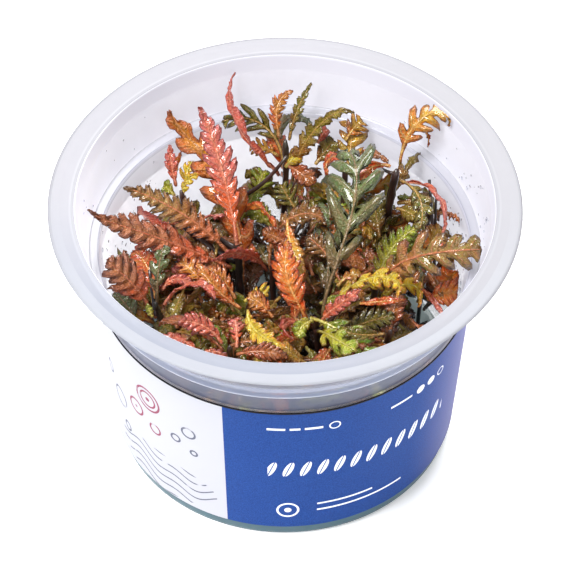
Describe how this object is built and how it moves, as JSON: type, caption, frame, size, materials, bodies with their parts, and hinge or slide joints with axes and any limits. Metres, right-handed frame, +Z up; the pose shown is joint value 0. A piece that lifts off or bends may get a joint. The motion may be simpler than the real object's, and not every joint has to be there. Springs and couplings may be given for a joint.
{
  "type": "hygrophila pinnatifida tissue culture cup",
  "caption": "Round translucent plastic culture cup with a flat rim, an inside ledge and a printed wrap, filled with a cut-leaved red and olive aquarium plant rooted in gel.",
  "frame": {"origin": "centre of the cup's foot, on the surface it stands on", "axes": "+Z up along the cup's axis, -Y towards the front of the label"},
  "size_m": [0.1, 0.1, 0.065],
  "materials": {
    "clear_plastic": "translucent milky moulded plastic, glossy inside",
    "label_print": "satin printed wrap, blue with a white part",
    "agar": "clear pale gel, wet",
    "stem": "dark wet stem",
    "leaf_rose": "living leaf, waxy and wet, rose",
    "leaf_amber": "living leaf, waxy and wet, amber",
    "leaf_orange": "living leaf, waxy and wet, orange",
    "leaf_grey": "living leaf, waxy and wet, grey",
    "leaf_olive": "living leaf, waxy and wet, olive",
    "leaf_lime": "living leaf, waxy and wet, lime",
    "leaf_bronze": "living leaf, waxy and wet, bronze",
    "leaf_yellow": "living leaf, waxy and wet, yellow",
    "leaf_deep": "living leaf, waxy and wet, deep"
  },
  "bodies": {
    "root": {"cup": "clear_plastic", "label": "label_print", "gel": "agar", "undergrowth": "leaf_deep", "stem_a": "stem", "stem_b": "stem", "stem_c": "stem", "stem_d": "stem", "stem_e": "stem", "stem_f": "stem", "stem_g": "stem", "stem_h": "stem", "stem_i": "stem", "stem_j": "stem", "stem_k": "stem", "stem_l": "stem", "stem_m": "stem", "leaf_rose_tall": "leaf_rose", "leaf_fern_left": "leaf_amber", "leaf_bronze_left": "leaf_amber", "leaf_amber_left": "leaf_amber", "leaf_orange_arch": "leaf_orange", "leaf_rose_broad": "leaf_rose", "leaf_grey_rib": "leaf_grey", "leaf_red_arch": "leaf_rose", "leaf_olive_low": "leaf_olive", "leaf_rose_thin": "leaf_rose", "leaf_olive_back": "leaf_olive", "leaf_upright_back": "leaf_amber", "leaf_narrow_back": "leaf_olive", "leaf_grey_arch": "leaf_grey", "leaf_olive_long": "leaf_olive", "leaf_green_deep": "leaf_olive", "leaf_olive_right": "leaf_olive", "leaf_rose_right": "leaf_orange", "leaf_olive_droop": "leaf_olive", "leaf_red_droop": "leaf_rose", "leaf_orange_centre": "leaf_orange", "leaf_grey_large": "leaf_grey", "leaf_tan_rib": "leaf_grey", "leaf_red_side": "leaf_rose", "leaf_lime_low": "leaf_lime", "leaf_red_curl": "leaf_rose", "leaf_bronze_large": "leaf_bronze", "leaf_lime_feather": "leaf_lime", "leaf_yellow_arch": "leaf_yellow", "leaf_peach_tip": "leaf_yellow", "leaf_orange_round": "leaf_orange", "leaf_rosy_left": "leaf_rose", "leaf_yellow_left": "leaf_yellow", "leaf_pink_front": "leaf_rose", "leaf_brown_curve": "leaf_bronze", "leaf_olive_front": "leaf_olive", "leaf_brown_fern": "leaf_bronze", "leaf_red_thin": "leaf_rose", "leaf_olive_orange": "leaf_amber", "leaf_yellow_twist": "leaf_yellow", "leaf_oak_yellow": "leaf_amber", "leaf_orange_strap": "leaf_orange", "leaf_brown_side": "leaf_bronze"}
  },
  "joints": []
}
